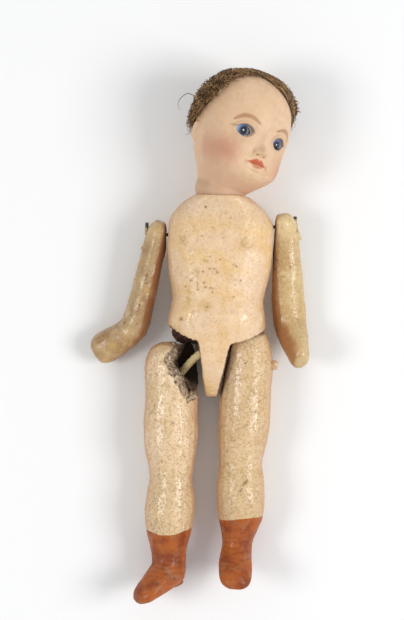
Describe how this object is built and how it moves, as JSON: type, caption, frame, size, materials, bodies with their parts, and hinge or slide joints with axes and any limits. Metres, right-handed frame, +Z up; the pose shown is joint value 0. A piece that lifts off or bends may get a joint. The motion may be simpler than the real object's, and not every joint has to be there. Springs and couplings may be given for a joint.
{
  "type": "bisque doll",
  "caption": "Strung doll on its back: bisque head with glass eyes, papier-mache torso, hooked arms, hollow booted legs, open hip; head, arms and legs move on elastic.",
  "frame": {"origin": "on the table below the middle of the lying doll's box", "axes": "+X the doll's left, +Y towards its head, +Z up, out of its chest"},
  "size_m": [0.0902, 0.2185, 0.0409],
  "materials": {
    "bisque": "unglazed bisque, pink, matt, painted face",
    "eye_glass": "opaque blue glass",
    "plaster": "dull plaster",
    "card": "grey card",
    "wig": "matted dark brown hair",
    "turned_wood": "bare turned wood",
    "wire": "dark iron wire",
    "torso_flesh": "varnished papier-mache, peach",
    "elastic": "tan covered elastic",
    "arm_flesh": "yellowed varnished papier-mache",
    "leg_flesh": "speckled varnished papier-mache with painted orange-brown boots",
    "plug_flesh": "painted flesh colour"
  },
  "bodies": {
    "torso": {"torso_front": "torso_flesh", "torso_back": "torso_flesh", "shoulder_elastic": "elastic", "head_elastic": "elastic", "hip_elastic": "elastic"},
    "neck_hook": {"neck_hook": "wire"},
    "neck_button": {"neck_button": "turned_wood"},
    "head": {"bisque_head": "bisque", "right_eye": "eye_glass", "left_eye": "eye_glass", "eye_plaster": "plaster", "pate": "card", "wig_band": "wig", "wig_tuft_right": "wig", "wig_tuft_left": "wig"},
    "right_arm": {"right_arm": "arm_flesh", "right_arm_hook": "wire"},
    "left_arm": {"left_arm": "arm_flesh", "left_arm_hook": "wire"},
    "right_leg": {"right_leg_inner": "leg_flesh", "right_leg_outer": "leg_flesh", "right_leg_toggle": "turned_wood"},
    "left_leg": {"left_leg_inner": "leg_flesh", "left_leg_outer": "leg_flesh", "left_hip_plug": "plug_flesh"}
  },
  "joints": [
    {"name": "head_nod", "type": "hinge", "parent": "torso", "child": "neck_hook", "pos_m": [0.006, 0.0611, 0.0206], "axis": [1, 0, 0], "range_deg": [-8, 8], "deforming": ["head_elastic"]},
    {"name": "head_tilt", "type": "hinge", "parent": "neck_hook", "child": "neck_button", "pos_m": [0.006, 0.0611, 0.0206], "axis": [0, 0, 1], "range_deg": [0, 36]},
    {"name": "head_turn", "type": "hinge", "parent": "neck_button", "child": "head", "pos_m": [0.006, 0.0611, 0.0206], "axis": [0.309, 0.9511, 0], "range_deg": [-110, 45]},
    {"name": "right_shoulder", "type": "hinge", "parent": "torso", "child": "right_arm", "pos_m": [-0.0148, 0.0416, 0.0135], "axis": [-1, 0, 0], "range_deg": [-40, 110]},
    {"name": "left_shoulder", "type": "hinge", "parent": "torso", "child": "left_arm", "pos_m": [0.0282, 0.0466, 0.0135], "axis": [-1, 0, 0], "range_deg": [-40, 110]},
    {"name": "right_hip", "type": "hinge", "parent": "torso", "child": "right_leg", "pos_m": [-0.0107, -0.0155, 0.0084], "axis": [-1, 0, 0], "range_deg": [-20, 80], "deforming": ["hip_elastic"]},
    {"name": "left_hip", "type": "hinge", "parent": "torso", "child": "left_leg", "pos_m": [0.0117, -0.0063, 0.0148], "axis": [-0.9833, 0.1822, 0], "range_deg": [-20, 80]}
  ]
}
